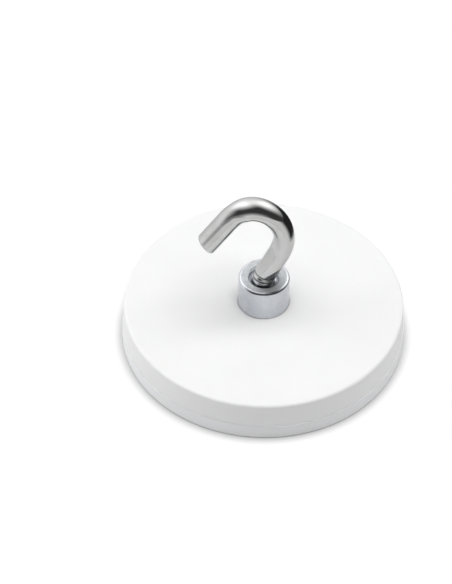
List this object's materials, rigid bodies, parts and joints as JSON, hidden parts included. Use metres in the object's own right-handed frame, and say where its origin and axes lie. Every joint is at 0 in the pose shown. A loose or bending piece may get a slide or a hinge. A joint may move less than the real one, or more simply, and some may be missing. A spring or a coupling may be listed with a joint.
{
  "type": "rubber-coated hook magnet",
  "caption": "Round pot magnet in a white rubber jacket, with a central threaded bush and a screw-in open hook, for hanging things or picking up small steel items.",
  "frame": {"origin": "centre of the jacket's underside, which is the holding face", "axes": "+Z along the threaded bush, away from the holding face; the hook bends in the XZ plane with its free end towards -X"},
  "size_m": [0.0436, 0.0436, 0.0286],
  "materials": {
    "jacket_rubber": "matte white moulded rubber",
    "pad_rubber": "matte white moulded rubber",
    "yoke_steel": "punched mild steel",
    "bush_zinc": "satin blue-white zinc plate on turned steel",
    "magnet_nickel": "bright nickel plate",
    "hook_zinc": "bright blue-white zinc plate on drawn wire"
  },
  "bodies": {
    "magnet_base": {"top_jacket": "jacket_rubber", "base_pad": "pad_rubber", "yoke_plate": "yoke_steel", "threaded_bush": "bush_zinc", "magnet_1": "magnet_nickel", "magnet_2": "magnet_nickel", "magnet_3": "magnet_nickel", "magnet_4": "magnet_nickel", "magnet_5": "magnet_nickel", "magnet_6": "magnet_nickel", "magnet_7": "magnet_nickel", "magnet_8": "magnet_nickel"},
    "hook": {"hook": "hook_zinc"}
  },
  "joints": [
    {"name": "hook_turn", "type": "hinge", "parent": "magnet_base", "child": "hook", "pos_m": [0, 0, 0.0124], "axis": [0, 0, 1], "range_deg": [-180, 180]}
  ]
}
